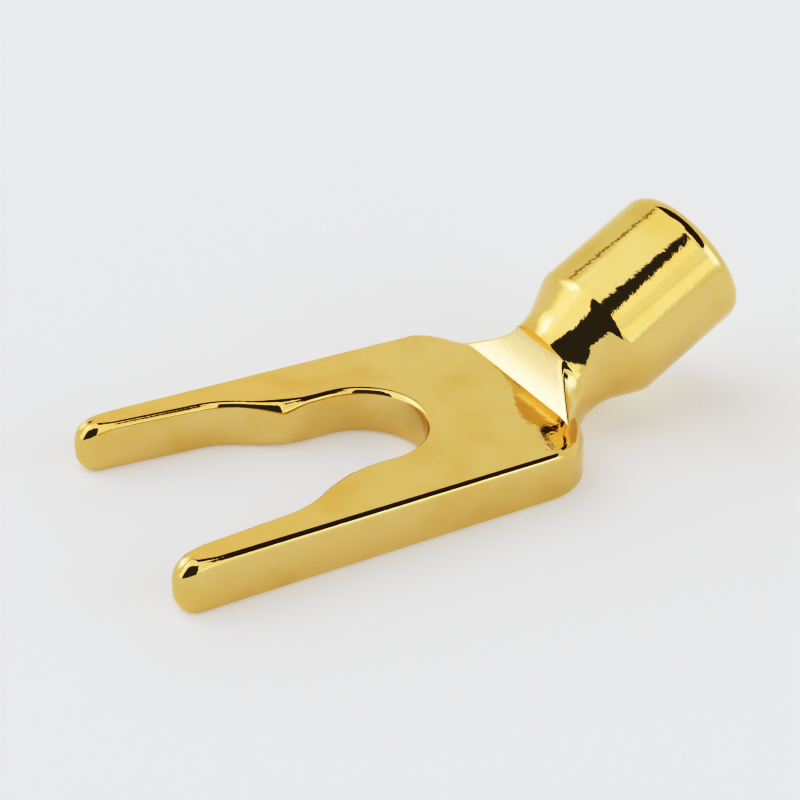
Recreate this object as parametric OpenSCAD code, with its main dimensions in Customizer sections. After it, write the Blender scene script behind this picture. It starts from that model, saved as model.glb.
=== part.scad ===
// Fork terminal: a flat two-prong blade with a stepped slot, and a round wire
// barrel that rises from the blade's back at an angle. One solid casting.
// The origin is the stud seat's centre on the underside. +X runs to the barrel.

/* [Blade] */
// Width over both prongs
blade_w = 14.5; // [13:0.1:18]
// Thickness of the blade
blade_t = 2.7; // [2.2:0.1:4]
// Distance from the seat's centre to the prong tips
prong_l = 12.85; // [10.5:0.05:18]
// Width of a prong at its tip
tip_w = 1.55; // [1.3:0.05:2]
// Length of a prong tip's round, seen from above
tip_l = 1.2; // [0.9:0.05:2]
// Edge rounding of the blade's top face
edge_r = 0.32; // [0.1:0.02:0.5]
// Edge rounding of the blade's underside, round the outside
low_edge_r = 0.35; // [0.1:0.05:0.55]
// Rounding of the prong tips on top, seen from the side
tip_r = 0.85; // [0.4:0.05:0.85]
// Rounding of the prong tips below, seen from the side
low_tip_r = 0.85; // [0.4:0.05:0.85]

/* [Slot] */
// Diameter of the seat that takes the stud
seat_d = 6.8; // [6:0.1:7.6]
// Distance from the seat's centre to the start of the step
step_x = 2.4; // [1.8:0.1:3.5]
// Slope of the step's straight stretch
step_slope = 32; // [20:1:40]
// Radius of the step's blunt corner, next to the seat
corner_r = 1; // [0.8:0.1:2]
// Radius of the step's hollow bend, next to the prong
step_r = 4.5; // [2:0.1:5]
// Edge rounding of the slot on the underside
slot_low_edge_r = 0.45; // [0.1:0.05:0.55]
// Edge rounding at the blunt corner
corner_edge_r = 0.68; // [0.3:0.02:0.7]
// Widening of the slot towards its mouth, in degrees
slot_draft = 4.5; // [0:0.5:6]

/* [Shoulder] */
// Distance from the seat's centre to the start of the shoulder's round
shoulder_x = 7.05; // [5:0.05:9]
// Radius of the shoulder, seen from above
shoulder_r = 3.2; // [2:0.1:4]
// Slope of the shoulder's back wall, seen from above
shoulder_slope = 52; // [45:1:65]
// Draft of the shoulder's back wall
shoulder_lean = 8; // [0:1:20]
// Edge rounding on top of the shoulder
shoulder_edge_r = 1.5; // [0.3:0.05:1.6]
// Radius of the round where the back wall turns behind the neck
heel_r = 1.6; // [1:0.1:2]

/* [Neck] */
// Distance from the seat's centre to the fold line
fold_x = 9.25; // [8:0.05:12]
// Width of the ramp at the fold line
ramp_w = 10.2; // [8:0.1:11]
// Width of the neck's root along the underside
root_w = 11.8; // [9:0.1:12.5]
// Diameter of the neck where the ramp runs out
neck_d = 6.05; // [5:0.05:7]
// Depth of the ramp's flat below the neck's round, where the ramp ends
ramp_cut = 0.75; // [0.4:0.05:0.9]
// Rounding of the ramp's two side creases
crease_r = 0.35; // [0.1:0.05:0.5]

/* [Barrel] */
// Angle of the barrel above the blade
barrel_angle = 31.4; // [20:0.2:40]
// Distance from the seat's centre to where the barrel's axis leaves the blade's middle
axis_x = 9.4; // [8.5:0.05:10.5]
// Distance along the axis to the neck
neck_s = 2.86; // [2.4:0.02:3.6]
// Distance along the axis to the barrel's end
barrel_l = 12.9; // [11:0.1:20]
// Outside diameter of the barrel
barrel_d = 8.2; // [7.4:0.1:10]
// Slope of the cone between neck and barrel
cone_slope = 27; // [15:1:35]
// Radius of the hollow bend between neck and cone
cone_r = 3.3; // [1:0.1:4]
// Radius of the bend between cone and barrel
cone_top_r = 1.3; // [0.5:0.1:3]
// Rounding of the barrel's end
end_r = 1; // [0.3:0.05:1.2]
// Diameter of the wire bore
bore_d = 5.6; // [3:0.1:6]
// Distance along the axis to the wire bore's floor
bore_s = 4.9; // [4.4:0.1:8]

/* [Hidden] */
$fn = 96;

gold = "#d9b54a";

// Clearance that keeps one body's surface off another's where two bodies merge
merge = 0.06;
// Stock left round the stud seat until the seat is cut, and the turn of the rough wall there
seat_stock = 0.03;
seat_turn = 80;
// Distance that a cutter runs past the face it opens
over = 1;
// Shares of a prong tip's width taken by its outer and its inner round
tip_out_share = 0.45;
tip_in_share = 0.5;
// Share of the tip's length by which its side rounding starts early
tip_blend = 0.2;
// Largest share of a step's rise that its two bends take
bend_share = 0.9;
// Reach of the blunt corner's edge rounding along both of its walls
corner_spread = 0.9;
// Share of the shoulder's edge rounding that is left at the heel
heel_share = 0.5;
// Steps along each kind of curve
seat_steps = 10;
bend_steps = 6;
short_steps = 3;
long_steps = 12;
round_steps = 5;
edge_steps = 4;
neck_steps = 10;

half_w = blade_w / 2;
seat_r = seat_d / 2;

function mix(a, b, t) = a + (b - a) * t;

// Points along an arc of an ellipse with half axes r.x and r.y
function arc(c, r, from, to, steps) =
    [for (k = [0 : steps])
        let (a = from + (to - from) * k / steps)
        [c.x + r.x * cos(a), c.y + r.y * sin(a)]];

// Points along a straight stretch, without its ends
function stretch(a, b, steps) = [for (k = [1 : steps - 1]) mix(a, b, k / steps)];

// Slot wall: seat, blunt corner, sloping stretch, hollow bend, and a straight stretch to the tip
wall_y = seat_r + merge;
mouth_y = half_w - tip_w - tan(slot_draft) * (prong_l - step_x) / 2;
step_rise = mouth_y - wall_y;
corner_fall = 1 - cos(step_slope);
hollow_fall = cos(slot_draft) - cos(step_slope);
step_scale = min(1, bend_share * step_rise / (corner_r * corner_fall + step_r * hollow_fall));
corner_bend = corner_r * step_scale;
hollow_bend = step_r * step_scale;
step_run = (step_rise - corner_bend * corner_fall - hollow_bend * hollow_fall) / sin(step_slope);
step_across = [sin(step_slope), cos(step_slope)];
wall_start = [-seat_r / 4, wall_y];
wall_end = [-step_x, wall_y];
corner_c = wall_end + [0, corner_bend];
run_start = corner_c - corner_bend * step_across;
run_end = run_start + step_run * [-cos(step_slope), sin(step_slope)];
hollow_c = run_end - hollow_bend * step_across;

// Prong tip: a smaller round outside and a larger one inside
tip_out = [tip_l, tip_out_share * tip_w];
tip_in = [tip_l, tip_in_share * tip_w];
tip_x = -prong_l + tip_l;
prong_start = hollow_c + hollow_bend * [sin(slot_draft), cos(slot_draft)];
tip_in_c = [tip_x, prong_start.y + (prong_start.x - tip_x) * tan(slot_draft) + tip_in.y];
tip_out_c = [tip_x, half_w - tip_out.y];

// Shoulder: a round corner, a back wall that runs in towards the neck, and a heel behind the neck
shoulder_c = [shoulder_x, half_w - shoulder_r];
shoulder_across = [sin(shoulder_slope), cos(shoulder_slope)];
shoulder_end = shoulder_c + shoulder_r * shoulder_across;
heel_y = ramp_w / 2;
heel_x = shoulder_end.x + (shoulder_end.y - heel_y) / tan(shoulder_slope);
heel_c = [heel_x, heel_y] - heel_r * shoulder_across;

half_slot = concat(
    arc([0, 0], (seat_r - seat_stock) * [1, 1], 0, seat_turn, seat_steps),
    [wall_start],
    stretch(wall_start, wall_end, short_steps),
    arc(corner_c, corner_bend * [1, 1], -90, -90 - step_slope, short_steps),
    stretch(run_start, run_end, short_steps),
    arc(hollow_c, hollow_bend * [1, 1], 90 - step_slope, 90 - slot_draft, bend_steps),
    arc(tip_in_c, tip_in, -90, -180, bend_steps));

half_outline = concat(
    half_slot,
    arc(tip_out_c, tip_out, 180, 90, bend_steps),
    stretch(tip_out_c + [0, tip_out.y], shoulder_c + [0, shoulder_r], long_steps),
    arc(shoulder_c, shoulder_r * [1, 1], 90, 90 - shoulder_slope, bend_steps),
    arc(heel_c, heel_r * [1, 1], 90 - shoulder_slope, 0, short_steps),
    [[heel_c.x + heel_r, 0]]);

outline = concat(half_outline,
    [for (k = [len(half_outline) - 2 : -1 : 1]) [half_outline[k].x, -half_outline[k].y]]);
points_round = len(outline);

// Inward direction of the outline at each of its points
inwards = [for (k = [0 : points_round - 1])
    let (d = outline[(k + 1) % points_round] - outline[(k + points_round - 1) % points_round])
    [d.y, -d.x] / norm(d)];

// Nearness to the slot's blunt corner, 1 at the corner and falling to 0 along both of its walls
corner_x = -step_x - corner_bend * sin(step_slope / 2);
function near_corner(p) = exp(-pow((p.x - corner_x) / corner_spread, 2));

function in_slot(k) = k < len(half_slot) || k > points_round - len(half_slot);

// One ring of the blade: turn 0 is the side wall, 90 the flat face, and face is 1 on top and -1 below
function blade_ring(turn, face) =
    [for (k = [0 : points_round - 1])
        let (p = outline[k],
             n = inwards[k],
             at_tip = max(0, min(1, (tip_x - p.x) / tip_l + tip_blend)),
             at_corner = in_slot(k) ? near_corner(p) : 0,
             at_back = in_slot(k) ? 0 : max(0, -n.x),
             at_shoulder = face > 0 && p.x > 0 ? at_back * min(1, heel_share + abs(n.y)) : 0,
             plain = face > 0 ? edge_r : in_slot(k) ? slot_low_edge_r : low_edge_r,
             edge = mix(mix(plain, corner_edge_r, at_corner), shoulder_edge_r, at_shoulder),
             edge_x = mix(edge, face > 0 ? tip_r : low_tip_r, at_tip),
             r = norm([n.x * edge_x, n.y * edge]),
             z = blade_t / 2 + face * (blade_t / 2 - r * (1 - sin(turn))),
             lean = p.x > 0 ? tan(shoulder_lean) * at_back * (blade_t / 2 - z) : 0)
        [p.x + n.x * edge_x * (1 - cos(turn)) + lean,
         p.y + n.y * edge * (1 - cos(turn)),
         z]];

// The same faces seen from their other side
function turned(faces) = [for (f = faces) [f[1], f[0], f[2]]];

// Closed solid through a stack of rings with the same number of points; caps close its ends
module skin(rings, caps, hubs = []) {
    count = len(rings[0]);
    sides = [for (j = [0 : len(rings) - 2], k = [0 : count - 1])
        let (n = (k + 1) % count)
        each [[j * count + k, j * count + n, (j + 1) * count + n],
              [j * count + k, (j + 1) * count + n, (j + 1) * count + k]]];
    polyhedron(concat([for (ring = rings) each ring], hubs), concat(sides, caps));
}

// Triangles across a prong of a ring, from the slot's points i to the outside's points j
function across(ring, i, j) =
    let (last_i = len(half_slot) - 1, last_j = last_i + 1)
    i == last_i && j == last_j ? [] :
    i == last_i || (j > last_j && ring[j - 1].x > ring[i + 1].x)
        ? concat([[i, j - 1, j]], across(ring, i, j - 1))
        : concat([[i, i + 1, j]], across(ring, i + 1, j));

// Flat face of the blade over a ring whose points start at a number
function flat_face(ring, start) =
    let (half = across(ring, 0, len(half_outline) - 1))
    concat(
        [for (f = half) [for (k = f) start + k]],
        [for (f = turned(half)) [for (k = f) start + (points_round - k) % points_round]]);

module blade() {
    lower = [for (k = [edge_steps : -1 : 0]) blade_ring(90 * k / edge_steps, -1)];
    upper = [for (k = [0 : edge_steps]) blade_ring(90 * k / edge_steps, 1)];
    rings = concat(lower, upper);
    top = len(rings) - 1;
    skin(rings, concat(turned(flat_face(rings[0], 0)), flat_face(rings[top], top * points_round)));
}

// Cutter that leaves the stud seat's wall a true cylinder
module seat_cutter() {
    translate([0, 0, -over]) cylinder(r = seat_r, h = blade_t + 2 * over);
}

// Neck: flat sections at the fold line turn about a line above it and change into the neck's round
neck_r = neck_d / 2;
pivot_z = blade_t / 2 + (neck_s + (axis_x - fold_x) * cos(barrel_angle)) / sin(barrel_angle);
neck_z = blade_t / 2 + neck_s * sin(barrel_angle);
// Growth of the neck over the cone's start
neck_over = 0.03;
neck_end_r = neck_r + neck_over;
// Height of the ramp's end above the barrel's axis
ramp_h = neck_r - ramp_cut;
// Turn from the neck's top to the ramp's crease and to the lower corner, and the span of their rounds
crease_turn = acos(ramp_h / neck_end_r);
low_turn = 131;
corner_span = 6;
// Sharpness of the crease at the neck's end
crease_power = 26;
// Steps along the ramp, its sides and its creases
top_steps = 5;
side_steps = 8;
crease_steps = 3;
// Height of the neck's underside above the blade's
heel_lift = 0.08;
// Reach of the neck into the blade, and how much smaller its hidden end is
root_back = 0.8;
root_shrink = 0.75;
// Reach of the neck into the cone, and how much smaller its hidden end is
tail_run = 0.6;
tail_in = 0.25;
// Run of the wall that steps up from the ramp to the cone, and its reach below the ramp
wall_run = 0.1;
wall_sink = 0.1;

root_half = let (top = ramp_w / 2, low = root_w / 2, up = blade_t - merge, down = heel_lift) concat(
    [for (k = [0 : top_steps - 1]) [(top - crease_r) * k / top_steps, up]],
    [for (k = [0 : crease_steps])
        let (a = 90 * k / crease_steps)
        [top - crease_r * (1 - sin(a)), up - crease_r * (1 - cos(a))]],
    [for (k = [1 : side_steps - 1])
        [mix(top, low, k / side_steps), mix(up - crease_r, down + crease_r, k / side_steps)]],
    [for (k = [0 : crease_steps])
        let (a = 90 * k / crease_steps)
        [low - crease_r * (1 - cos(a)), down + crease_r * (1 - sin(a))]],
    [for (k = [top_steps - 1 : -1 : 0]) [(low - crease_r) * k / top_steps, down]]);

turn_half = let (
        first = crease_turn - corner_span,
        second = crease_turn + corner_span,
        third = low_turn - corner_span,
        fourth = low_turn + corner_span)
    concat(
        [for (k = [0 : top_steps - 1]) atan(tan(first) * k / top_steps)],
        [for (k = [0 : crease_steps]) mix(first, second, k / crease_steps)],
        [for (k = [1 : side_steps - 1]) mix(second, third, k / side_steps)],
        [for (k = [0 : crease_steps]) mix(third, fourth, k / crease_steps)],
        [for (k = [1 : top_steps]) mix(fourth, 180, k / top_steps)]);

// Distance of the neck's end from the axis at a turn, with the ramp's flat on top
function neck_end(turn) =
    neck_end_r / pow(1 + pow(max(0, cos(turn)) * neck_end_r / ramp_h, crease_power), 1 / crease_power);
// Share of the way in width, faster at the root
waist_power = 1.5;
function waist_share(u) = 1 - pow(1 - u, waist_power);

function mirror_ring(half) =
    concat(half, [for (k = [len(half) - 2 : -1 : 1]) [half[k].x, -half[k].y, half[k].z]]);

function neck_ring(u) =
    mirror_ring([for (k = [0 : len(root_half) - 1])
        let (a = turn_half[k],
             r = neck_end(a),
             y = mix(root_half[k].x, r * sin(a), waist_share(u)),
             z = mix(root_half[k].y, neck_z + r * cos(a) * cos(barrel_angle), u))
        [fold_x + (pivot_z - z) * tan(barrel_angle * u), y, z]]);

// Ring that closes the neck inside the blade
function root_ring() =
    mirror_ring([for (p = root_half)
        [fold_x - root_back, p.x * root_shrink, mix(blade_t / 2, p.y, root_shrink)]]);

// Ring that closes the neck inside the cone
function tail_ring(s, r) =
    mirror_ring([for (a = turn_half)
        [axis_x + s * cos(barrel_angle) - r * cos(a) * sin(barrel_angle),
         r * sin(a),
         blade_t / 2 + s * sin(barrel_angle) + r * cos(a) * cos(barrel_angle)]]);

// End of a skin as a fan about a hub, for a ring that has points in line
function fan(first, count, hub) =
    [for (k = [0 : count - 1]) [first + k, first + (k + 1) % count, hub]];

module neck() {
    tail_s = neck_s + tail_run;
    rings = concat(
        [root_ring()],
        [for (k = [0 : neck_steps]) neck_ring(k / neck_steps)],
        [tail_ring(tail_s, neck_r - tail_in)]);
    count = len(rings[0]);
    total = len(rings) * count;
    hubs = [[fold_x - root_back, 0, blade_t / 2],
            [axis_x + tail_s * cos(barrel_angle), 0, blade_t / 2 + tail_s * sin(barrel_angle)]];
    skin(rings, concat(turned(fan(0, count, total)), fan(total - count, count, total + 1)), hubs);
}

// Children stand on the barrel's axis, with their Z along it
module on_axis() {
    translate([axis_x, 0, blade_t / 2])
        rotate([0, 90 - barrel_angle, 0])
            children();
}

barrel_r = barrel_d / 2;
cone_rise = barrel_r - neck_r;
cone_fall = 1 - cos(cone_slope);
cone_scale = min(1, bend_share * cone_rise / cone_fall / (cone_r + cone_top_r));
low_bend = cone_r * cone_scale;
top_bend = cone_top_r * cone_scale;
cone_run = (cone_rise - (low_bend + top_bend) * cone_fall) / tan(cone_slope);
cone_end = neck_s + (low_bend + top_bend) * sin(cone_slope) + cone_run;

// Half section of the cone and barrel, as distance from the axis and distance along it
barrel_section = concat(
    [[0, neck_s - wall_run], [ramp_h - wall_sink, neck_s - wall_run]],
    [for (k = [0 : bend_steps])
        let (a = cone_slope * k / bend_steps)
        [neck_r + low_bend * (1 - cos(a)), neck_s + low_bend * sin(a)]],
    [for (k = [bend_steps : -1 : 0])
        let (a = cone_slope * k / bend_steps)
        [barrel_r - top_bend * (1 - cos(a)), cone_end - top_bend * sin(a)]],
    [for (k = [0 : round_steps])
        let (a = 90 * k / round_steps)
        [barrel_r - end_r * (1 - cos(a)), barrel_l - end_r * (1 - sin(a))]],
    [[0, barrel_l]]);

module barrel() {
    on_axis() rotate_extrude() polygon(barrel_section);
}

module wire_bore() {
    on_axis() translate([0, 0, bore_s]) cylinder(d = bore_d, h = barrel_l - bore_s + over);
}

module fork_terminal() {
    color(gold)
        difference() {
            union() {
                blade();
                neck();
                barrel();
            }
            seat_cutter();
            wire_bore();
        }
}

fork_terminal();
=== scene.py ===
"""Fork terminal: a gold-plated forked blade with a round wire barrel, dressed for a studio picture.

Sizes are in millimetres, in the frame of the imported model: the origin is the stud seat's centre on
the underside, +X runs to the barrel and +Z is up. Meshes are scaled to metres when they are finished.
"""

import logging
import math
from dataclasses import dataclass, field
from enum import Enum

import bmesh
import bpy
from mathutils import Euler, Matrix, Vector


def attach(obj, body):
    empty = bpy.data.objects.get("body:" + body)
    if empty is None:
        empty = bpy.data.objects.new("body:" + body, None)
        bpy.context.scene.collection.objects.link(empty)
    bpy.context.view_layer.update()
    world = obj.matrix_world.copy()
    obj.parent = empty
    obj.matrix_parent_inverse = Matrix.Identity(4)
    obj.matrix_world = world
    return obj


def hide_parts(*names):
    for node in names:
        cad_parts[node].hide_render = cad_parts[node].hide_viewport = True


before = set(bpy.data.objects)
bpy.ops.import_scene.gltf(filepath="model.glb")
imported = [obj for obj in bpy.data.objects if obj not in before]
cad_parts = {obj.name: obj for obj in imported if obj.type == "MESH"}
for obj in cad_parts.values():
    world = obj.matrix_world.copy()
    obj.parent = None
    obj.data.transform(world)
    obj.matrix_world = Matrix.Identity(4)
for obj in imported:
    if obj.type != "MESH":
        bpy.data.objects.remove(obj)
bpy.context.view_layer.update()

# Metres in a millimetre
MM = 0.001
NODE = "fork_terminal"
# Distances in millimetres within which a seam's points and a fused mesh's slivers are merged
WELD = 1e-5
SLIVER = 2e-3
# Place of the curve for all three colours in a curve mapping
COMBINED_CURVE = 3

Colour = tuple[float, float, float]
Tree = bpy.types.NodeTree
Socket = bpy.types.NodeSocket

log = logging.getLogger("fork_terminal")


class Face(Enum):
    """The blade's two broad faces, valued by the direction they look in."""

    TOP = 1
    UNDER = -1


class Zone(Enum):
    """The two stretches of the blade's outline."""

    SLOT = "slot"
    OUTSIDE = "outside"


class Step(Enum):
    """The ways in which one range of values can be turned into another."""

    EVEN = "LINEAR"
    SOFT = "SMOOTHSTEP"


@dataclass(frozen=True)
class Station:
    """One point of the blade's outline, seen from above.

    Attributes:
        place: Position in the plane of the blade.
        inward: Unit vector into the metal.
        zone: Stretch of the outline that the point is on.
    """

    place: Vector
    inward: Vector
    zone: Zone


def mix(a: float, b: float, share: float) -> float:
    """Returns the value a share of the way from a to b."""
    return a + (b - a) * share


def clamp(value: float) -> float:
    """Returns the value held between 0 and 1."""
    return max(0.0, min(1.0, value))


def oval(
    centre: Vector, radii: tuple[float, float], start: float, end: float, steps: int
) -> list[Vector]:
    """Lays points along an arc of an ellipse.

    Args:
        centre: Centre of the ellipse.
        radii: Half axes along x and y.
        start: First angle, in degrees.
        end: Last angle, in degrees.
        steps: Number of steps.

    Returns:
        The points, both ends included.
    """
    turns = [math.radians(mix(start, end, k / steps)) for k in range(steps + 1)]
    return [centre + Vector((radii[0] * math.cos(a), radii[1] * math.sin(a))) for a in turns]


def arc(centre: Vector, radius: float, start: float, end: float, steps: int) -> list[Vector]:
    """Lays points along an arc of a circle, with the angles and steps of an oval."""
    return oval(centre, (radius, radius), start, end, steps)


def stretch(start: Vector, end: Vector, steps: int) -> list[Vector]:
    """Lays points along a straight line, without its ends.

    Args:
        start: First end.
        end: Last end.
        steps: Number of steps.

    Returns:
        The points between the ends.
    """
    return [start.lerp(end, k / steps) for k in range(1, steps)]


def lay_chain(mesh: bmesh.types.BMesh, points: list[Vector]) -> list[bmesh.types.BMVert]:
    """Starts a mesh with a chain of edges.

    Args:
        mesh: Mesh to add to.
        points: Places of the chain's vertices.

    Returns:
        The vertices in order.
    """
    chain = [mesh.verts.new(p) for p in points]
    for a, b in zip(chain, chain[1:]):
        mesh.edges.new((a, b))
    return chain


def pull_chain(
    mesh: bmesh.types.BMesh, chain: list[bmesh.types.BMVert], points: list[Vector]
) -> list[bmesh.types.BMVert]:
    """Extrudes a chain of edges and moves the new chain to its points.

    Args:
        mesh: Mesh that holds the chain.
        chain: Vertices of the chain.
        points: Places of the new vertices, in the same order.

    Returns:
        The new vertices in order.
    """
    edges = [mesh.edges.get(pair) for pair in zip(chain, chain[1:])]
    made = bmesh.ops.extrude_edge_only(mesh, edges=edges)["geom"]
    fresh = {v for v in made if isinstance(v, bmesh.types.BMVert)}
    pulled = [next(w for e in v.link_edges if (w := e.other_vert(v)) in fresh) for v in chain]
    for vertex, point in zip(pulled, points):
        vertex.co = point
    return pulled


def to_object(mesh: bmesh.types.BMesh, name: str) -> bpy.types.Object:
    """Turns a bmesh into a linked object.

    Args:
        mesh: Finished bmesh, which is freed.
        name: Name of the object and its mesh.

    Returns:
        The object.
    """
    data = bpy.data.meshes.new(name)
    mesh.to_mesh(data)
    mesh.free()
    made = bpy.data.objects.new(name, data)
    bpy.context.scene.collection.objects.link(made)
    return made


def skin_halves(rings: list[list[Vector]], name: str) -> bpy.types.Object:
    """Extrudes a half ring from place to place and mirrors the skin across the middle plane.

    Args:
        rings: Points of each half ring, in the same order.
        name: Name of the object and its mesh.

    Returns:
        The closed skin's object, with its faces outward.
    """
    mesh = bmesh.new()
    chain = lay_chain(mesh, rings[0])
    for ring in rings[1:]:
        chain = pull_chain(mesh, chain, ring)
    half = mesh.verts[:] + mesh.edges[:] + mesh.faces[:]
    bmesh.ops.mirror(mesh, geom=half, matrix=Matrix.Identity(4), axis="Y", merge_dist=WELD)
    bmesh.ops.edgeloop_fill(mesh, edges=[e for e in mesh.edges if e.is_boundary])
    bmesh.ops.recalc_face_normals(mesh, faces=mesh.faces[:])
    return to_object(mesh, name)


def plug(tree: Tree, socket: Socket, value: Socket | float) -> None:
    """Links a socket to another one, or sets it to a number.

    Args:
        tree: Node tree that holds the socket.
        socket: Socket to feed.
        value: Socket or number that it takes.
    """
    if isinstance(value, Socket):
        tree.links.new(value, socket)
    else:
        socket.default_value = value


def calc(tree: Tree, operation: str, *terms: Socket | float) -> Socket:
    """Adds a Math node.

    Args:
        tree: Node tree to add to.
        operation: Name of the operation.
        terms: Sockets or numbers that it works on.

    Returns:
        The result's socket.
    """
    node = tree.nodes.new("ShaderNodeMath")
    node.operation = operation
    for socket, term in zip(node.inputs, terms):
        plug(tree, socket, term)
    return node.outputs["Value"]


def remap(
    tree: Tree,
    value: Socket,
    source: tuple[float, float],
    target: tuple[float, float] = (0.0, 1.0),
    step: Step = Step.EVEN,
) -> Socket:
    """Adds a Map Range node, which holds its result inside the target.

    Args:
        tree: Node tree to add to.
        value: Socket to turn into the new range.
        source: Values that become the ends of the target.
        target: Ends of the new range.
        step: Way from one end to the other.

    Returns:
        The result's socket.
    """
    node = tree.nodes.new("ShaderNodeMapRange")
    node.interpolation_type = step.value
    for name, limit in zip(("From Min", "From Max", "To Min", "To Max"), source + target):
        node.inputs[name].default_value = limit
    tree.links.new(value, node.inputs["Value"])
    return node.outputs["Result"]


def fade(tree: Tree, value: Socket, start: float, end: float) -> Socket:
    """Returns a smooth step that is 0 where the value is at its start and 1 at its end."""
    return remap(tree, value, (start, end), step=Step.SOFT)


def blend(tree: Tree, factor: Socket, under: Socket, over: Colour) -> Socket:
    """Lays a colour over another one.

    Args:
        tree: Node tree to add to.
        factor: Socket that says how much of the upper colour shows.
        under: Socket of the lower colour.
        over: Upper colour.

    Returns:
        The mixed colour's socket.
    """
    node = tree.nodes.new("ShaderNodeMix")
    node.data_type = "RGBA"
    node.inputs["B"].default_value = (*over, 1)
    tree.links.new(factor, node.inputs["Factor"])
    tree.links.new(under, node.inputs["A"])
    return node.outputs["Result"]


def plain_colour(tree: Tree, colour: Colour) -> Socket:
    """Adds a plain colour.

    Args:
        tree: Node tree to add to.
        colour: Red, green and blue.

    Returns:
        The colour's socket.
    """
    socket = tree.nodes.new("ShaderNodeRGB").outputs["Color"]
    socket.default_value = (*colour, 1)
    return socket


def noise(tree: Tree, place: Socket, size_mm: float, detail: float) -> Socket:
    """Adds a noise.

    Args:
        tree: Node tree to add to.
        place: Socket of the coordinates, in metres.
        size_mm: Size of the noise's waves, in millimetres.
        detail: Number of finer waves laid over them.

    Returns:
        The noise's socket.
    """
    node = tree.nodes.new("ShaderNodeTexNoise")
    node.inputs["Scale"].default_value = 1 / (size_mm * MM)
    node.inputs["Detail"].default_value = detail
    tree.links.new(place, node.inputs["Vector"])
    return node.outputs["Fac"]


def bump(
    tree: Tree, relief: Socket, height: float, strength: Socket | float, under: Socket | None = None
) -> Socket:
    """Adds a layer of bumps.

    Args:
        tree: Node tree to add to.
        relief: Socket that the bumps follow.
        height: Height of the bumps, in millimetres.
        strength: Share of the bumps that shows.
        under: Normal of the layer below, if there is one.

    Returns:
        The socket of the bumpy normal.
    """
    node = tree.nodes.new("ShaderNodeBump")
    node.inputs["Distance"].default_value = height * MM
    plug(tree, node.inputs["Strength"], strength)
    tree.links.new(relief, node.inputs["Height"])
    if under is not None:
        tree.links.new(under, node.inputs["Normal"])
    return node.outputs["Normal"]


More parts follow.
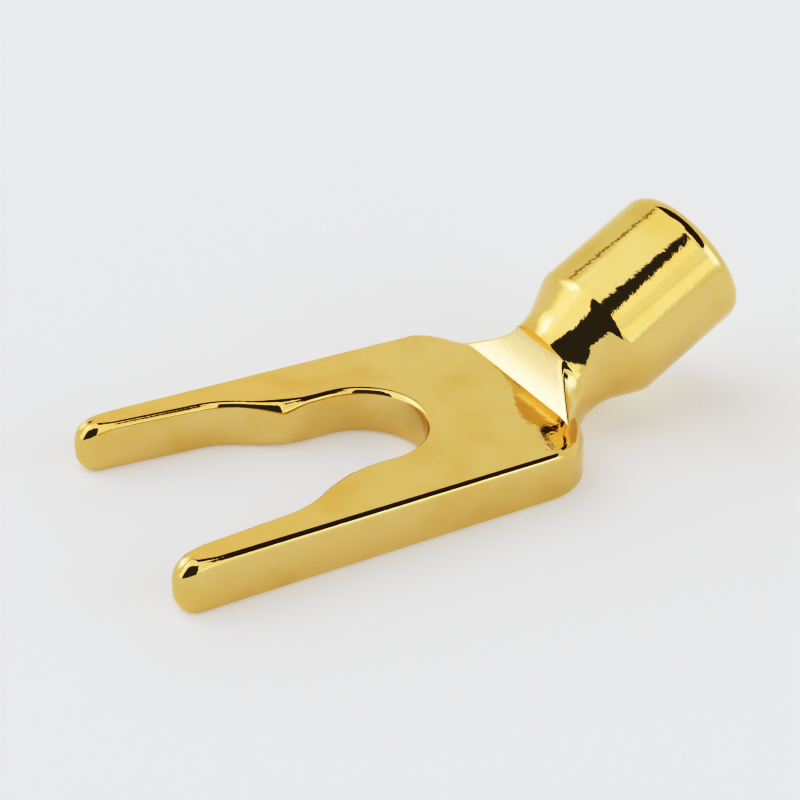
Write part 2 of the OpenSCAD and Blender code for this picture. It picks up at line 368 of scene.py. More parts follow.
@dataclass
class Blade:
    """Flat two-prong blade with a stepped slot, rounded tips and shoulders.

    Attributes:
        width: Width over both prongs.
        thickness: Thickness of the blade.
        prong_length: Distance from the seat's centre to the prong tips.
        tip_width: Width of a prong at its tip.
        tip_length: Length of a prong tip's round, seen from above.
        tip_out_share: Share of the tip's width that the round's outer half takes.
        edge_r: Edge rounding of the top face.
        low_edge_r: Edge rounding of the underside, round the outside.
        tip_r: Edge rounding on top of the tips, along the prong.
        tip_side_r: Edge rounding on top of the tips, across the prong.
        tip_low_r: Edge rounding under the tips, along the prong.
        tip_blend: Share of the tip's length by which its edge rounding starts early.
        seat_r: Radius of the seat that takes the stud.
        step_x: Distance from the seat's centre to the start of the slot's step.
        step_slope: Slope of the step's straight stretch, in degrees.
        corner_r: Radius of the step's blunt corner, next to the seat.
        hollow_r: Radius of the step's hollow bend, next to the prong.
        slot_low_edge_r: Edge rounding of the slot on the underside.
        corner_edge_r: Edge rounding at the blunt corner.
        corner_spread: Distance over which the corner's edge rounding fades.
        slot_draft: Widening of the slot towards its mouth, in degrees.
        shoulder_x: Distance from the seat's centre to the start of the shoulder's round.
        shoulder_r: Radius of the shoulder, seen from above.
        shoulder_slope: Slope of the shoulder's back wall, seen from above, in degrees.
        shoulder_lean: Draft of the shoulder's back wall, in degrees.
        shoulder_edge_r: Edge rounding on top of the shoulder.
        heel_r: Radius of the round where the back wall turns behind the neck.
        heel_y: Distance from the middle plane to the start of that round.
        heel_share: Share of the shoulder's edge rounding that goes on round the heel.
        seat_steps: Steps of the seat's quarter turn, and so on for the other stretches.
        edge_steps: Steps of each edge rounding.
        stations: Points of half the outline, from the seat's back to the heel's middle.
    """

    width: float = 14.5
    thickness: float = 2.7
    prong_length: float = 12.85
    tip_width: float = 1.55
    tip_length: float = 1.2
    tip_out_share: float = 0.45
    edge_r: float = 0.32
    low_edge_r: float = 0.35
    tip_r: float = 1.3
    tip_side_r: float = 0.65
    tip_low_r: float = 0.95
    tip_blend: float = 0.5
    seat_r: float = 3.4
    step_x: float = 2.4
    step_slope: float = 32.0
    corner_r: float = 1.0
    hollow_r: float = 4.5
    slot_low_edge_r: float = 0.45
    corner_edge_r: float = 0.68
    corner_spread: float = 0.9
    slot_draft: float = 4.5
    shoulder_x: float = 7.05
    shoulder_r: float = 3.2
    shoulder_slope: float = 52.0
    shoulder_lean: float = 8.0
    shoulder_edge_r: float = 1.5
    heel_r: float = 1.6
    heel_y: float = 5.1
    heel_share: float = 0.5
    seat_steps: int = 36
    wall_steps: int = 12
    corner_steps: int = 10
    run_steps: int = 6
    hollow_steps: int = 14
    prong_steps: int = 16
    tip_steps: int = 14
    side_steps: int = 24
    shoulder_steps: int = 20
    heel_steps: int = 14
    back_steps: int = 6
    edge_steps: int = 8
    stations: list[Station] = field(init=False)

    def __post_init__(self) -> None:
        """Lays the outline once the sizes are known."""
        self.half_w = self.width / 2
        self.tip_x = self.tip_length - self.prong_length
        half_slope = math.radians(self.step_slope / 2)
        self.corner_x = -self.step_x - self.corner_r * math.sin(half_slope)
        slot, outside = self._slot_points(), self._outside_points()
        points = slot + outside
        before = [points[1] * Vector((1, -1))] + points[:-1]
        after = points[1:] + [points[-2] * Vector((1, -1))]
        self.stations = []
        for k, (place, last, following) in enumerate(zip(points, before, after)):
            along = (following - last).normalized()
            zone = Zone.SLOT if k < len(slot) else Zone.OUTSIDE
            self.stations.append(Station(place, Vector((along.y, -along.x)), zone))

    def _slot_points(self) -> list[Vector]:
        """Lays half of the slot's wall.

        Returns:
            The points from the seat's back to the prong's nose.
        """
        slope, draft = math.radians(self.step_slope), math.radians(self.slot_draft)
        widening = math.tan(draft) * (self.prong_length - self.step_x) / 2
        rise = self.half_w - self.tip_width - widening - self.seat_r
        corner_rise = self.corner_r * (1 - math.cos(slope))
        hollow_rise = self.hollow_r * (math.cos(draft) - math.cos(slope))
        run = (rise - (corner_rise + hollow_rise)) / math.sin(slope)
        across = Vector((math.sin(slope), math.cos(slope)))
        wall_start = Vector((0, self.seat_r))
        wall_end = Vector((-self.step_x, self.seat_r))
        corner_c = wall_end + Vector((0, self.corner_r))
        run_start = corner_c - self.corner_r * across
        run_end = run_start + run * Vector((-math.cos(slope), math.sin(slope)))
        hollow_c = run_end - self.hollow_r * across
        prong = hollow_c + self.hollow_r * Vector((math.sin(draft), math.cos(draft)))
        mouth_y = prong.y + (prong.x - self.tip_x) * math.tan(draft)
        half_tip = self.tip_width / 2
        nose = Vector((self.tip_x, mouth_y + half_tip))
        tip_start = nose - Vector((0, half_tip))
        step_turn, prong_turn = 90 - self.step_slope, 90 - self.slot_draft
        return [
            *arc(Vector((0, 0)), self.seat_r, 0, 90, self.seat_steps),
            *stretch(wall_start, wall_end, self.wall_steps),
            *arc(corner_c, self.corner_r, -90, -90 - self.step_slope, self.corner_steps),
            *stretch(run_start, run_end, self.run_steps),
            *arc(hollow_c, self.hollow_r, step_turn, prong_turn, self.hollow_steps),
            *stretch(prong, tip_start, self.prong_steps),
            *oval(nose, (self.tip_length, half_tip), -90, -180, self.tip_steps),
        ]

    def _outside_points(self) -> list[Vector]:
        """Lays half of the outside.

        Returns:
            The points from the prong's nose round the shoulder to the middle of the heel.
        """
        tip_y = self.tip_out_share * self.tip_width
        tip_c = Vector((self.tip_x, self.half_w - tip_y))
        side_start = Vector((self.tip_x, self.half_w))
        side_end = Vector((self.shoulder_x, self.half_w))
        shoulder_c = Vector((self.shoulder_x, self.half_w - self.shoulder_r))
        slope = math.radians(self.shoulder_slope)
        across = Vector((math.sin(slope), math.cos(slope)))
        shoulder_end = shoulder_c + self.shoulder_r * across
        heel_x = shoulder_end.x + (shoulder_end.y - self.heel_y) / math.tan(slope)
        heel_c = Vector((heel_x, self.heel_y)) - self.heel_r * across
        heel_end = heel_c + Vector((self.heel_r, 0))
        middle = Vector((heel_end.x, 0))
        back_turn = 90 - self.shoulder_slope
        return [
            *oval(tip_c, (self.tip_length, tip_y), 180, 90, self.tip_steps),
            *stretch(side_start, side_end, self.side_steps),
            *arc(shoulder_c, self.shoulder_r, 90, back_turn, self.shoulder_steps),
            *arc(heel_c, self.heel_r, back_turn, 0, self.heel_steps),
            *stretch(heel_end, middle, self.back_steps),
            middle,
        ]

    def edge_point(self, station: Station, turn: float, face: Face) -> Vector:
        """Finds a point of the rounded edge at a station.

        Args:
            station: Point of the outline.
            turn: Turn of the round in degrees, 0 on the wall and 90 on the face.
            face: Broad face that the edge belongs to.

        Returns:
            The point, in millimetres.
        """
        place, inward = station.place, station.inward
        in_slot = station.zone is Zone.SLOT
        at_tip = clamp((self.tip_x - place.x) / self.tip_length + self.tip_blend)
        past_corner = (place.x - self.corner_x) / self.corner_spread
        at_corner = math.exp(-(past_corner**2)) if in_slot else 0.0
        at_back = 0.0 if in_slot or place.x < 0 else max(0.0, -inward.x)
        if face is Face.TOP:
            plain, tip_r, side_r = self.edge_r, self.tip_r, self.tip_side_r
            at_shoulder = at_back * min(1.0, self.heel_share + abs(inward.y))
        else:
            plain = self.slot_low_edge_r if in_slot else self.low_edge_r
            tip_r, side_r = self.tip_low_r, plain
            at_shoulder = 0.0
        edge = mix(mix(plain, self.corner_edge_r, at_corner), self.shoulder_edge_r, at_shoulder)
        edge_x = mix(edge, tip_r, at_tip)
        edge_y = mix(edge, side_r, at_tip)
        r = math.hypot(inward.x * edge_x, inward.y * edge_y)
        a = math.radians(turn)
        half_t = self.thickness / 2
        z = half_t + face.value * (half_t - r * (1 - math.sin(a)))
        lean = math.tan(math.radians(self.shoulder_lean)) * at_back * (half_t - z)
        x = place.x + inward.x * edge_x * (1 - math.cos(a)) + lean
        y = place.y + inward.y * edge_y * (1 - math.cos(a))
        return Vector((x, y, z))

    def build(self) -> bpy.types.Object:
        """Extrudes half of the outline round both edges and mirrors it.

        Returns:
            The blade as a closed mesh in millimetres.
        """
        turns = [90 * k / self.edge_steps for k in range(self.edge_steps + 1)]
        levels = [(turn, Face.UNDER) for turn in reversed(turns)]
        levels += [(turn, Face.TOP) for turn in turns]
        rings = [[self.edge_point(s, turn, face) for s in self.stations] for turn, face in levels]
        return skin_halves(rings, "blade")


@dataclass
class Barrel:
    """Round wire barrel on a slanted axis, with a blind bore and the cone that leads to the neck.

    Attributes:
        angle: Angle of the axis above the blade, in degrees.
        axis_x: Distance from the seat's centre to the axis's start.
        axis_z: Height of the axis's start, in the middle of the blade.
        neck_s: Distance along the axis to the neck.
        neck_r: Radius of the neck.
        length: Distance along the axis to the barrel's end.
        outer_r: Outside radius of the barrel.
        cone_slope: Slope of the cone, in degrees.
        cone_r: Radius of the hollow bend between neck and cone.
        cone_top_r: Radius of the bend between cone and barrel.
        wall_r: Radius at the foot of the wall that the ramp runs into.
        wall_run: Distance along the axis by which that wall leans.
        end_r: Rounding of the barrel's end.
        mouth_r: Rounding of the bore's mouth.
        bore_r: Radius of the wire bore.
        bore_s: Distance along the axis to the bore's floor.
        bend_steps: Steps of each bend of the section.
        mouth_steps: Steps of the mouth's rounding.
        turn_steps: Steps of the full turn.
    """

    angle: float = 31.4
    axis_x: float = 9.4
    axis_z: float = 1.35
    neck_s: float = 2.86
    neck_r: float = 3.025
    length: float = 12.9
    outer_r: float = 4.1
    cone_slope: float = 27.0
    cone_r: float = 3.3
    cone_top_r: float = 1.3
    wall_r: float = 2.175
    wall_run: float = 0.1
    end_r: float = 1.0
    mouth_r: float = 0.15
    bore_r: float = 2.8
    bore_s: float = 4.9
    bend_steps: int = 10
    mouth_steps: int = 4
    turn_steps: int = 160

    def place(self) -> Matrix:
        """Returns the matrix that stands a turned shape's Z on the barrel's axis."""
        tilt = Matrix.Rotation(math.radians(90 - self.angle), 4, "Y")
        return Matrix.Translation((self.axis_x, 0, self.axis_z)) @ tilt

    def profile(self) -> list[Vector]:
        """Lays the half section, from the axis in the neck to the axis at the bore's floor.

        Returns:
            The points as (distance from the axis, 0, distance along it).
        """
        slope = math.radians(self.cone_slope)
        low, top, end, mouth = self.cone_r, self.cone_top_r, self.end_r, self.mouth_r
        rise = self.outer_r - self.neck_r
        run = (rise - (low + top) * (1 - math.cos(slope))) / math.tan(slope)
        start_s = self.neck_s - self.wall_run
        top_s = self.neck_s + (low + top) * math.sin(slope) + run
        low_c = Vector((self.neck_r + low, self.neck_s))
        top_c = Vector((self.outer_r - top, top_s))
        end_c = Vector((self.outer_r - end, self.length - end))
        mouth_c = Vector((self.bore_r + mouth, self.length - mouth))
        flat = [
            Vector((0, start_s)),
            Vector((self.wall_r, start_s)),
            *arc(low_c, low, 180, 180 - self.cone_slope, self.bend_steps),
            *arc(top_c, top, -self.cone_slope, 0, self.bend_steps),
            *arc(end_c, end, 0, 90, self.bend_steps),
            *arc(mouth_c, mouth, 90, 180, self.mouth_steps),
            Vector((self.bore_r, self.bore_s)),
            Vector((0, self.bore_s)),
        ]
        return [Vector((p.x, 0, p.y)) for p in flat]

    def build(self) -> bpy.types.Object:
        """Spins the half section about the axis.

        Returns:
            The barrel as a closed mesh in millimetres.
        """
        mesh = bmesh.new()
        lay_chain(mesh, self.profile())
        bmesh.ops.spin(
            mesh,
            geom=mesh.verts[:] + mesh.edges[:],
            cent=(0, 0, 0),
            axis=(0, 0, 1),
            angle=math.tau,
            steps=self.turn_steps,
            use_merge=True,
        )
        bmesh.ops.remove_doubles(mesh, verts=mesh.verts[:], dist=WELD)
        bmesh.ops.recalc_face_normals(mesh, faces=mesh.faces[:])
        bmesh.ops.transform(mesh, matrix=self.place(), verts=mesh.verts[:])
        return to_object(mesh, "barrel")


@dataclass
class Neck:
    """Hollow ramp with two side creases, and the waist that carries the barrel.

    Its sections start as a trapezoid at the fold line, turn about a line above it, and change into
    the neck's circle with a flat on top.

    Attributes:
        barrel: Barrel that the neck carries.
        blade: Blade that it rises from.
        fold_x: Distance from the seat's centre to the fold line.
        ramp_w: Width of the ramp at the fold line.
        root_w: Width of the neck's root along the underside.
        crease_r: Rounding of the trapezoid's corners.
        sink: Depth of the fold's section below the blade's top face.
        heel_lift: Height of the fold's section above the blade's underside.
        ramp_h: Distance from the axis to the ramp's flat, where the ramp ends.
        crease_power: Sharpness of the creases, where the ramp ends.
        corner_span: Half of the turn that a corner takes on the neck's circle, in degrees.
        low_turn: Turn of the lower corner on that circle, in degrees from its top.
        waist_power: Power by which the width draws in along the neck.
        over: Height of the neck's end over the turned neck.
        root_back: Distance by which the neck reaches back into the blade.
        root_shrink: Share of the fold's section that is left there.
        tail_run: Distance by which the neck reaches on into the cone.
        tail_in: Depth below the turned neck that is reached there.
        steps: Sections along the neck.
        top_steps: Steps over half of the top and of the underside.
        side_steps: Steps down the side.
        crease_steps: Steps round each corner.
    """

    barrel: Barrel
    blade: Blade
    fold_x: float = 9.25
    ramp_w: float = 10.6
    root_w: float = 11.8
    crease_r: float = 0.45
    sink: float = 0.06
    heel_lift: float = 0.08
    ramp_h: float = 2.275
    crease_power: float = 26.0
    corner_span: float = 6.0
    low_turn: float = 131.0
    waist_power: float = 1.5
    over: float = 0.03
    root_back: float = 0.8
    root_shrink: float = 0.75
    tail_run: float = 0.6
    tail_in: float = 0.25
    steps: int = 40
    top_steps: int = 14
    side_steps: int = 24
    crease_steps: int = 8

    def __post_init__(self) -> None:
        """Works out the planes that the sections turn through, and the ramp's ends."""
        barrel = self.barrel
        self.tilt = math.radians(barrel.angle)
        self.end_r = barrel.neck_r + self.over
        self.root_z = self.blade.thickness - self.sink
        self.neck_z = barrel.axis_z + barrel.neck_s * math.sin(self.tilt)
        run = barrel.neck_s + (barrel.axis_x - self.fold_x) * math.cos(self.tilt)
        self.pivot_z = barrel.axis_z + run / math.sin(self.tilt)
        self.ramp_top_z = self.neck_z + self.ramp_h * math.cos(self.tilt)
        self.ramp_end_x = self.fold_x + (self.pivot_z - self.ramp_top_z) * math.tan(self.tilt)
        self.flat_half = self.ramp_w / 2 - self.crease_r
        self.end_half = math.sqrt(self.end_r**2 - self.ramp_h**2)

    def root_half(self) -> list[Vector]:
        """Lays half of the section at the fold line, as (across, up).

        Returns:
            The points from the ramp's middle to the underside's.
        """
        top, low = self.ramp_w / 2, self.root_w / 2
        up, down, r = self.root_z, self.heel_lift, self.crease_r
        out = range(self.top_steps)
        return [
            *[Vector(((top - r) * k / self.top_steps, up)) for k in out],
            *arc(Vector((top - r, up - r)), r, 90, 0, self.crease_steps),
            *stretch(Vector((top, up - r)), Vector((low, down + r)), self.side_steps),
            *arc(Vector((low - r, down + r)), r, 0, -90, self.crease_steps),
            *[Vector(((low - r) * k / self.top_steps, down)) for k in reversed(out)],
        ]

    def circle_turns(self) -> list[float]:
        """Finds the place of each point of the half section on the neck's circle.

        Returns:
            The turns from the circle's top, in degrees.
        """
        corner = math.degrees(math.acos(self.ramp_h / self.end_r))
        first, second = corner - self.corner_span, corner + self.corner_span
        third, fourth = self.low_turn - self.corner_span, self.low_turn + self.corner_span
        flat = math.tan(math.radians(first))
        top, side, crease = self.top_steps, self.side_steps, self.crease_steps
        return [
            *[math.degrees(math.atan(flat * k / top)) for k in range(top)],
            *[mix(first, second, k / crease) for k in range(crease + 1)],
            *[mix(second, third, k / side) for k in range(1, side)],
            *[mix(third, fourth, k / crease) for k in range(crease + 1)],
            *[mix(fourth, 180, k / top) for k in range(1, top + 1)],
        ]

    def end_radius(self, turn: float) -> float:
        """Finds the distance of the neck's end from the axis, with the ramp's flat on top.

        Args:
            turn: Turn from the circle's top, in radians.

        Returns:
            The distance, in millimetres.
        """
        share = max(0.0, math.cos(turn)) * self.end_r / self.ramp_h
        return self.end_r / (1 + share**self.crease_power) ** (1 / self.crease_power)

    def ring(self, u: float) -> list[Vector]:
        """Lays half of the section a share of the way from the fold line to the circle.

        Args:
            u: Share of the way.

        Returns:
            The points from the ramp's middle to the underside's.
        """
        waist = 1 - (1 - u) ** self.waist_power
        points = []
        for root, degrees in zip(self.root_half(), self.circle_turns()):
            a = math.radians(degrees)
            r = self.end_radius(a)
            y = mix(root.x, r * math.sin(a), waist)
            z = mix(root.y, self.neck_z + r * math.cos(a) * math.cos(self.tilt), u)
            x = self.fold_x + (self.pivot_z - z) * math.tan(self.tilt * u)
            points.append(Vector((x, y, z)))
        return points

    def root_ring(self) -> list[Vector]:
        """Returns the smaller half ring that closes the neck inside the blade."""
        x, middle, share = self.fold_x - self.root_back, self.blade.thickness / 2, self.root_shrink
        return [Vector((x, p.x * share, mix(middle, p.y, share))) for p in self.root_half()]

    def tail_ring(self) -> list[Vector]:
        """Returns the smaller half ring that closes the neck inside the cone."""
        barrel = self.barrel
        r, s = barrel.neck_r - self.tail_in, barrel.neck_s + self.tail_run
        turns = [math.radians(a) for a in self.circle_turns()]
        return [barrel.place() @ Vector((-r * math.cos(a), r * math.sin(a), s)) for a in turns]

    def build(self) -> bpy.types.Object:
        """Extrudes half of the fold's section along the bend and mirrors it.

        Returns:
            The neck as a closed mesh in millimetres.
        """
        bend = [self.ring(k / self.steps) for k in range(self.steps + 1)]
        return skin_halves([self.root_ring(), *bend, self.tail_ring()], "neck")


@dataclass(frozen=True)
class GoldPlate:
    """Polished gold plating with a fine orange-peel texture, with brush lines on the ramp, where a
    painted highlight makes the colour paler.

    Attributes:
        colour: Colour of the metal.
        stain: Colour of faint stains in the plating.
        stain_mm: Size of the stains.
        stain_detail: Detail of the stains.
        stain_range: Noise at which a stain starts and is full.
        roughness: Roughness of the polish.
        polish_mm: Size of the polish's duller spots.
        polish_detail: Detail of those spots.
        polish_range: Least and most roughness, as shares of the polish's.
        peel_mm: Size of the orange peel's waves.
        peel_height: Height of those waves.
        peel_detail: Detail of those waves.
        grain_mm: Size of the fine grain.
        grain_height: Height of the grain.
        grain_detail: Detail of the grain.
        painted_highlight_colour: Paler colour painted on the ramp as a highlight, in place of a
            bright light's blurred reflection in its brush lines.
        brush_roughness: Roughness that brushing adds.
        brush_mm: Distance between brush lines.
        brush_length: Length of the lines, as a multiple of that distance.
        brush_height: Height of the lines.
        brush_detail: Detail of the lines.
        crease_fade: Distance from the ramp's creases over which the brushing and the painted
            highlight come in.
        fold_fade: Heights above the fold line at which the brushing and the painted highlight start
            and are full.
        top_fade: Share of the ramp's rise over which the brushing and the painted highlight end.
        wall_fade: Distances past the ramp's end at which the brushing and the painted highlight have
            ended and are full.
    """

    colour: Colour = (0.84, 0.645, 0.305)
    stain: Colour = (0.79, 0.565, 0.21)
    stain_mm: float = 3.0
    stain_detail: float = 4.0
    stain_range: tuple[float, float] = (0.45, 0.8)
    roughness: float = 0.05
    polish_mm: float = 1.5
    polish_detail: float = 3.0
    polish_range: tuple[float, float] = (0.8, 1.3)
    peel_mm: float = 0.45
    peel_height: float = 0.008
    peel_detail: float = 2.0
    grain_mm: float = 0.15
    grain_height: float = 0.002
    grain_detail: float = 1.0
    # Paler colour of the ramp: a painted highlight, in place of a bright light's blurred reflection
    painted_highlight_colour: Colour = (0.91, 0.755, 0.45)
    brush_roughness: float = 0.2
    brush_mm: float = 0.1
    brush_length: float = 60.0
    brush_height: float = 0.004
    brush_detail: float = 2.0
    crease_fade: float = 0.2
    fold_fade: tuple[float, float] = (0.08, 0.12)
    top_fade: float = 0.02
    wall_fade: tuple[float, float] = (0.1, 0.05)

    def ramp_mask(self, tree: Tree, place: Socket, neck: Neck) -> Socket:
        """Marks the ramp between its creases, which has brush lines and a painted highlight.

        Args:
            tree: Node tree to add to.
            place: Socket of the Object coordinates.
            neck: Neck whose ramp is marked.

        Returns:
            A socket that is 1 on the ramp and 0 elsewhere.
        """
        split = tree.nodes.new("ShaderNodeSeparateXYZ")
        tree.links.new(place, split.inputs["Vector"])
        x, y, z = (calc(tree, "DIVIDE", split.outputs[axis], MM) for axis in "XYZ")
        rise = neck.ramp_top_z - neck.root_z
        fall = calc(tree, "SUBTRACT", neck.ramp_top_z, z)
        left = calc(tree, "MAXIMUM", calc(tree, "DIVIDE", fall, rise), 0.0)
        taper = calc(tree, "POWER", left, neck.waist_power)
        widening = neck.flat_half - neck.end_half
        half = calc(tree, "MULTIPLY_ADD", taper, widening, neck.end_half)
        inset = calc(tree, "SUBTRACT", half, calc(tree, "ABSOLUTE", y))
        inside = fade(tree, inset, 0.0, self.crease_fade)
        above = fade(tree, z, *(neck.root_z + height for height in self.fold_fade))
        below = fade(tree, left, 0.0, self.top_fade)
        before = fade(tree, x, *(neck.ramp_end_x + past for past in self.wall_fade))
        across, along = calc(tree, "MULTIPLY", inside, above), calc(tree, "MULTIPLY", below, before)
        return calc(tree, "MULTIPLY", across, along)

    def plate_colour(self, tree: Tree, place: Socket, brushed_and_painted_highlight: Socket) -> Socket:
        """Mixes the colours of the metal, its stains and the ramp's painted highlight.

        Args:
            tree: Node tree to add to.
            place: Socket of the Object coordinates.
            brushed_and_painted_highlight: Socket that is 1 on the ramp, which has brush lines and the
                painted highlight.

        Returns:
            The colour's socket.
        """
        stains = remap(tree, noise(tree, place, self.stain_mm, self.stain_detail), self.stain_range)
        plating = blend(tree, stains, plain_colour(tree, self.colour), self.stain)
        # The ramp's paler colour is a painted highlight, not a colour of the metal
        return blend(tree, brushed_and_painted_highlight, plating, self.painted_highlight_colour)

    def plate_roughness(self, tree: Tree, place: Socket, brushed_and_painted_highlight: Socket) -> Socket:
        """Varies the polish a little, and roughens the ramp, which has brush lines.

        Args:
            tree: Node tree to add to.
            place: Socket of the Object coordinates.
            brushed_and_painted_highlight: Socket that is 1 on the ramp, which has brush lines and the
                painted highlight.

        Returns:
            The roughness's socket.
        """
        spots = noise(tree, place, self.polish_mm, self.polish_detail)
        least, most = (self.roughness * share for share in self.polish_range)
        polish = remap(tree, spots, (0.0, 1.0), (least, most))
        return calc(tree, "MULTIPLY_ADD", brushed_and_painted_highlight, self.brush_roughness, polish)

    def plate_relief(self, tree: Tree, place: Socket, brushed_and_painted_highlight: Socket) -> Socket:
        """Lays orange peel and grain over the metal, and brush lines over the ramp.

        Args:
            tree: Node tree to add to.
            place: Socket of the Object coordinates.
            brushed_and_painted_highlight: Socket that is 1 on the ramp, which has brush lines and the
                painted highlight.

        Returns:
            The normal's socket.
        """
        waves = noise(tree, place, self.peel_mm, self.peel_detail)
        peel = bump(tree, waves, self.peel_height, 1.0)
        specks = noise(tree, place, self.grain_mm, self.grain_detail)
        grain = bump(tree, specks, self.grain_height, 1.0, peel)
        drawn = tree.nodes.new("ShaderNodeVectorMath")
        drawn.operation = "MULTIPLY"
        drawn.inputs[1].default_value = (1, 1 / self.brush_length, 1)
        tree.links.new(place, drawn.inputs[0])
        lines = noise(tree, drawn.outputs["Vector"], self.brush_mm, self.brush_detail)
        return bump(tree, lines, self.brush_height, brushed_and_painted_highlight, grain)

    def material(self, neck: Neck) -> bpy.types.Material:
        """Builds the node material.

        Args:
            neck: Neck whose ramp has brush lines and the painted highlight.

        Returns:
            The material, on Object coordinates.
        """
        made = bpy.data.materials.new("gold_plate")
        made.use_nodes = True
        tree = made.node_tree
        place = tree.nodes.new("ShaderNodeTexCoord").outputs["Object"]
        # Mask of the ramp, which has brush lines and the painted highlight
        brushed_and_painted_highlight = self.ramp_mask(tree, place, neck)
        shader = tree.nodes["Principled BSDF"]
        shader.inputs["Metallic"].default_value = 1.0
        for name, method in (
            ("Base Color", self.plate_colour),
            ("Roughness", self.plate_roughness),
            ("Normal", self.plate_relief),
        ):
            tree.links.new(method(tree, place, brushed_and_painted_highlight), shader.inputs[name])
        return made


@dataclass
class ForkTerminal:
    """The whole terminal: blade, neck and barrel fused into one piece.

    Attributes:
        blade: Blade with its two prongs.
        neck: Neck between blade and barrel.
        barrel: Barrel for the wire.
        finish: Finish of the whole piece.
        crease_degrees: Angle between two faces from which their edge is sharp.
    """

    blade: Blade
    neck: Neck
    barrel: Barrel
    finish: GoldPlate
    crease_degrees: float = 24.0

    def fuse(self) -> bpy.types.Mesh:
        """Joins the three bodies by exact unions.

        Returns:
            The joined mesh, in millimetres.
        """
        body = self.neck.build()
        tools = [self.barrel.build(), self.blade.build()]
        for tool in tools:
            union = body.modifiers.new(tool.name, "BOOLEAN")
            union.operation = "UNION"
            union.solver = "EXACT"
            union.object = tool
        depsgraph = bpy.context.evaluated_depsgraph_get()
        data = bpy.data.meshes.new_from_object(body.evaluated_get(depsgraph))
        for spare in [body, *tools]:
            bpy.data.meshes.remove(spare.data)
        data.name = "gold_fork"
        return data

    def clean(self, data: bpy.types.Mesh) -> None:
        """Merges slivers, scales the mesh to metres and marks its sharp edges.

        Args:
            data: Mesh to clean, in millimetres.
        """
        mesh = bmesh.new()
        mesh.from_mesh(data)
        bmesh.ops.remove_doubles(mesh, verts=mesh.verts[:], dist=SLIVER)
        bmesh.ops.dissolve_degenerate(mesh, dist=SLIVER, edges=mesh.edges[:])
        log.info("open edges: %d", sum(not e.is_manifold for e in mesh.edges))
        bmesh.ops.scale(mesh, vec=(MM,) * 3, verts=mesh.verts[:])
        for face in mesh.faces:
            face.smooth = True
            face.material_index = 0
        for edge in mesh.edges:
            edge.smooth = edge.calc_face_angle(0.0) < math.radians(self.crease_degrees)
        mesh.to_mesh(data)
        mesh.free()

    def build(self) -> bpy.types.Object:
        """Makes and dresses the piece, at the origin.

        Returns:
            The finished piece's object.
        """
        data = self.fuse()
        self.clean(data)
        data.materials.clear()
        data.materials.append(self.finish.material(self.neck))
        piece = bpy.data.objects.new("gold_fork", data)
        bpy.context.scene.collection.objects.link(piece)
        shade = piece.modifiers.new("even_normals", "WEIGHTED_NORMAL")
        shade.keep_sharp = True
        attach(piece, "root")
        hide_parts(NODE)
        return piece


@dataclass(frozen=True)
class Panel:
    """A soft-edged patch of the tent round the part.

    Attributes:
        azimuth: Middle of the patch in degrees, from +Y towards +X.
        elevation: Middle of the patch in degrees above the floor.
        half_w: Half of its width in degrees.
        half_h: Half of its height in degrees.
        soft: Width of its soft edge in degrees.
        colour: Brightness of its red, green and blue.
    """

    azimuth: float
    elevation: float
    half_w: float
    half_h: float
    soft: float
    colour: Colour


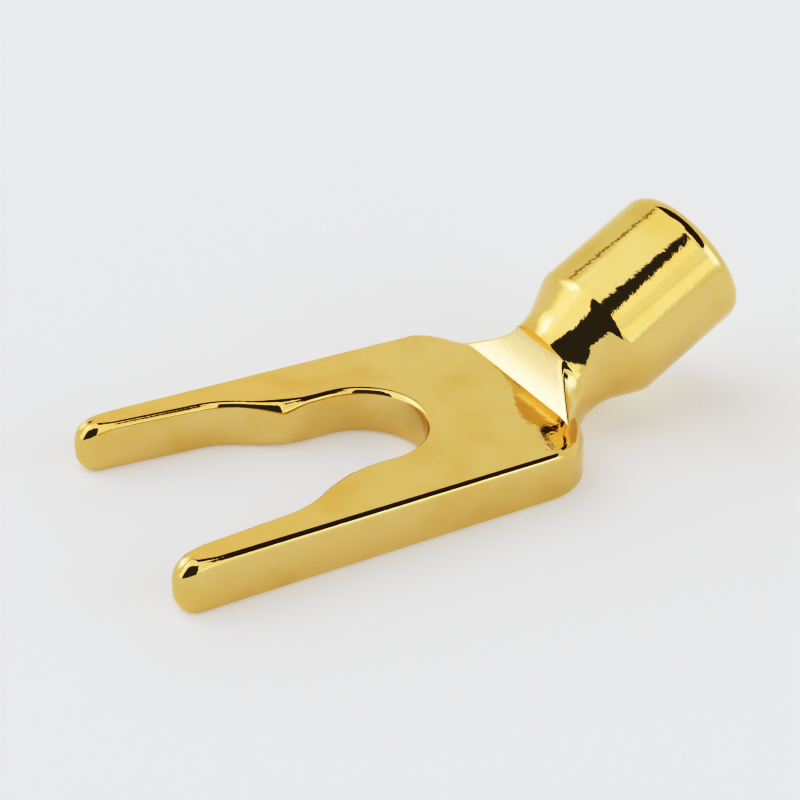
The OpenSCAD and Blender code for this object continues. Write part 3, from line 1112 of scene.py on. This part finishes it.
@dataclass
class Tent:
    """Pale light tent: an even brightness with brighter and darker panels laid over it in order.

    Attributes:
        colour: Brightness of the tent between its panels.
        panels: Panels, each laid over those before it.
    """

    colour: Colour = (0.72, 0.71, 0.64)
    panels: list[Panel] = field(
        default_factory=lambda: [
            # Ceiling and left wall
            Panel(0, 90, 180, 38, 14, (0.96, 0.94, 0.88)),
            Panel(-80, 36, 36, 34, 10, (1.04, 1.01, 0.93)),
            # Main light at the back left, and its bright middle
            Panel(-46, 37, 25, 19, 12, (1.14, 1.14, 1.12)),
            Panel(-42, 42, 11, 13, 10, (1.20, 1.45, 2.01)),
            # Dimmer back wall, which the blade's top shows
            Panel(-20, 4, 14, 8, 14, (0.72, 0.73, 0.72)),
            Panel(8, 12, 12, 18, 10, (0.70, 0.70, 0.59)),
            Panel(20, 34, 6, 14, 12, (0.77, 0.69, 0.56)),
            # Fill lights at the front and on the right, which the near walls and the barrel show
            Panel(176, 35, 18, 8, 8, (0.90, 0.88, 0.79)),
            Panel(174, 17, 18, 8, 8, (1.05, 1.01, 0.88)),
            Panel(-168, 47, 10, 9, 6, (1.04, 0.99, 0.84)),
            Panel(135, 28, 22, 14, 10, (1.15, 1.27, 1.45)),
            Panel(172, 7, 6, 4, 6, (1.08, 1.11, 1.12)),
            # Thin dark rod at the back, and black cards over the right and beside the camera
            Panel(-8, 45, 1.4, 9, 1.2, (0.30, 0.30, 0.14)),
            Panel(87, 59, 73, 17, 3, (0.07, 0.05, 0.03)),
            Panel(-133, 28, 33, 39, 2.5, (0.08, 0.08, 0.08)),
        ]
    )

    def build(self) -> None:
        """Makes the world's node tree and sets it on the scene."""
        world = bpy.data.worlds.new("tent")
        bpy.context.scene.world = world
        world.use_nodes = True
        tree = world.node_tree
        direction = tree.nodes.new("ShaderNodeTexCoord").outputs["Generated"]
        split = tree.nodes.new("ShaderNodeSeparateXYZ")
        tree.links.new(direction, split.inputs["Vector"])
        bearing = calc(tree, "ARCTAN2", split.outputs["X"], split.outputs["Y"])
        azimuth = calc(tree, "DEGREES", bearing)
        elevation = calc(tree, "DEGREES", calc(tree, "ARCSINE", split.outputs["Z"]))

        def window(angle: Socket, half: float, soft: float) -> Socket:
            """Returns 1 where an angle is within a half width, 0 outside, with a soft edge."""
            return fade(tree, calc(tree, "ABSOLUTE", angle), half + soft / 2, half - soft / 2)

        colour = plain_colour(tree, self.colour)
        for panel in self.panels:
            turn = calc(tree, "SUBTRACT", azimuth, panel.azimuth)
            turn = calc(tree, "WRAP", turn, 180.0, -180.0)
            rise = calc(tree, "SUBTRACT", elevation, panel.elevation)
            across = window(turn, panel.half_w, panel.soft)
            up = window(rise, panel.half_h, panel.soft)
            colour = blend(tree, calc(tree, "MULTIPLY", across, up), colour, panel.colour)
        tree.links.new(colour, tree.nodes["Background"].inputs["Color"])


@dataclass
class Studio:
    """Pale floor, soft light from all round, and the camera.

    Attributes:
        floor_r: Radius of the floor, in millimetres.
        floor_sides: Number of the floor's sides.
        floor_colour: Colour of the floor's paint.
        floor_roughness: Roughness of the paint.
        floor_glow: Brightness that the floor has of its own, as a lit table does.
        camera_mm: Place of the camera.
        camera_turn: Turns of the camera about X, Y and Z, in degrees.
        lens: Focal length on a 36 mm sensor.
        reach: Nearest and farthest distance that the camera sees, in metres.
        tone: Points of the picture's tone curve between black and white.
    """

    floor_r: float = 2500.0
    floor_sides: int = 96
    floor_colour: Colour = (0.81, 0.82, 0.87)
    floor_roughness: float = 0.9
    floor_glow: float = 0.22
    camera_mm: tuple[float, float, float] = (-30.207, -55.483, 41.175)
    camera_turn: tuple[float, float, float] = (59.582, -1.185, -29.631)
    lens: float = 65.92
    reach: tuple[float, float] = (0.001, 20.0)
    tone: tuple[tuple[float, float], ...] = (
        (0.085, 0.03),
        (0.25, 0.2),
        (0.38, 0.4),
        (0.62, 0.72),
    )

    def lay_floor(self) -> bpy.types.Object:
        """Lays the round floor under the part.

        Returns:
            The floor's object, marked as stage.
        """
        mesh = bmesh.new()
        radius = self.floor_r * MM
        bmesh.ops.create_circle(mesh, cap_ends=True, segments=self.floor_sides, radius=radius)
        floor = to_object(mesh, "floor")
        paint = bpy.data.materials.new("floor_paint")
        paint.use_nodes = True
        shader = paint.node_tree.nodes["Principled BSDF"]
        shader.inputs["Base Color"].default_value = (*self.floor_colour, 1)
        shader.inputs["Roughness"].default_value = self.floor_roughness
        shader.inputs["Specular IOR Level"].default_value = 0.0
        shader.inputs["Emission Color"].default_value = (1, 1, 1, 1)
        shader.inputs["Emission Strength"].default_value = self.floor_glow
        floor.data.materials.append(paint)
        return floor

    def aim_camera(self) -> bpy.types.Object:
        """Sets the camera at the picture's angle.

        Returns:
            The camera's object.
        """
        data = bpy.data.cameras.new("camera")
        data.lens = self.lens
        data.clip_start, data.clip_end = self.reach
        camera = bpy.data.objects.new("camera", data)
        camera.location = Vector(self.camera_mm) * MM
        camera.rotation_euler = Euler([math.radians(a) for a in self.camera_turn])
        bpy.context.scene.collection.objects.link(camera)
        bpy.context.scene.camera = camera
        return camera

    def set_tone(self) -> None:
        """Gives the picture the contrast of a printed photograph."""
        view = bpy.context.scene.view_settings
        view.view_transform = "Standard"
        view.use_curve_mapping = True
        curve = view.curve_mapping.curves[COMBINED_CURVE]
        for place in self.tone:
            curve.points.new(*place)
        view.curve_mapping.update()

    def build(self) -> None:
        """Sets up floor, light, camera and tone."""
        self.lay_floor()
        Tent().build()
        self.aim_camera()
        self.set_tone()


def main() -> None:
    """Builds the terminal and its studio."""
    logging.basicConfig(level=logging.INFO, format="%(name)s: %(message)s")
    blade = Blade()
    barrel = Barrel()
    terminal = ForkTerminal(blade, Neck(barrel, blade), barrel, GoldPlate())
    piece = terminal.build()
    log.info("%s: %d faces", piece.name, len(piece.data.polygons))
    Studio().build()


if __name__ == "__main__":
    main()
